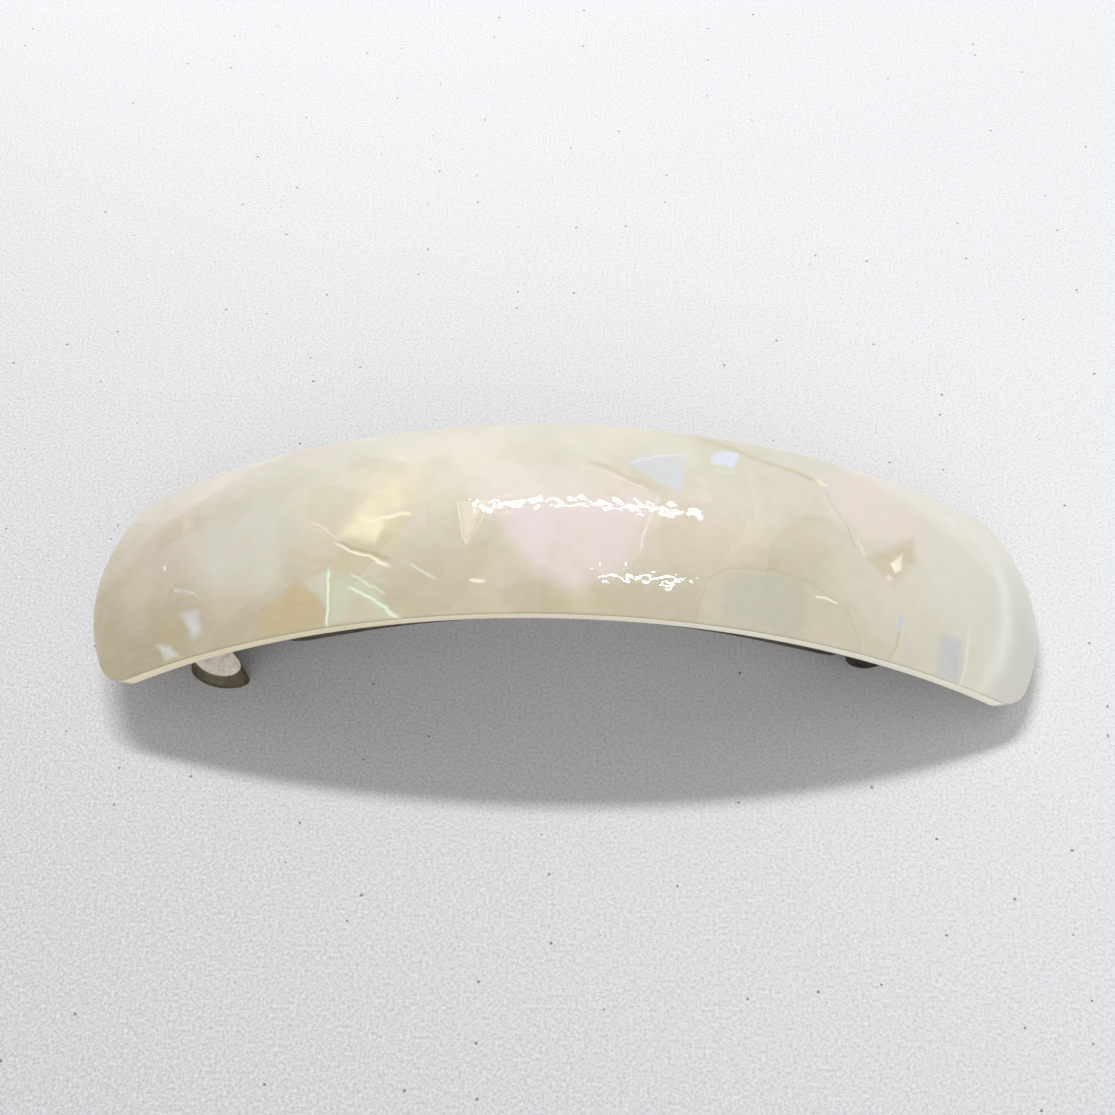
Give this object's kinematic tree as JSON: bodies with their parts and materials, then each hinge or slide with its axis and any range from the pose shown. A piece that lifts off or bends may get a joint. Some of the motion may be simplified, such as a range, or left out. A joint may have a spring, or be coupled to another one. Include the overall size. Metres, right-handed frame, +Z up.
{
  "type": "hair barrette",
  "caption": "Arched rectangular acetate barrette with rounded corners on a spring steel French clip with a hinged slotted arm and pinch catch.",
  "frame": {"origin": "middle of the barrette's footprint on the surface that it rests on, clip side down", "axes": "+X along the plate towards the clip's hinge, +Y across it to the back, +Z up; the plate leans 2.2 degrees down at the hinge end, as it rests"},
  "size_m": [0.1044, 0.0246, 0.0233],
  "materials": {
    "acetate": "polished marbled pearl",
    "steel": "dull nickel",
    "spring_steel": "satin nickel",
    "pin_steel": "plain steel"
  },
  "bodies": {
    "clip": {"acetate_plate": "acetate", "clasp_base": "steel", "base_pin_catch_end": "pin_steel", "base_pin_hinge_end": "pin_steel", "catch_bracket": "spring_steel", "catch_rivet": "pin_steel", "hinge_pin": "pin_steel"},
    "arm": {"clasp_arm": "steel"},
    "tab_front": {"pinch_tab_front": "spring_steel"},
    "tab_back": {"pinch_tab_back": "spring_steel"},
    "bar": {"tension_bar": "spring_steel"}
  },
  "joints": [
    {"name": "arm_swing", "type": "hinge", "parent": "clip", "child": "arm", "pos_m": [0.03343, 0, 0.00239], "axis": [0, -1, 0], "range_deg": [0, 100]},
    {"name": "pinch_front", "type": "hinge", "parent": "clip", "child": "tab_front", "pos_m": [-0.04135, -0.0028, 0.00952], "axis": [0.8782, 0, 0.4784], "range_deg": [0, 5], "stiffness_Nm_per_rad": 0.4},
    {"name": "pinch_back", "type": "hinge", "parent": "clip", "child": "tab_back", "pos_m": [-0.04135, 0.0028, 0.00952], "axis": [-0.8782, 0, -0.4784], "range_deg": [0, 5], "stiffness_Nm_per_rad": 0.4},
    {"name": "bow_flex", "type": "slide", "parent": "clip", "child": "bar", "axis": [0.0384, 0, 0.9993], "range_m": [0, 0.0016], "stiffness_N_per_m": 500, "deforming": ["tension_bar"]}
  ],
  "couplings": [
    {"joint": "pinch_back", "follows": "pinch_front", "ratio": 1}
  ]
}
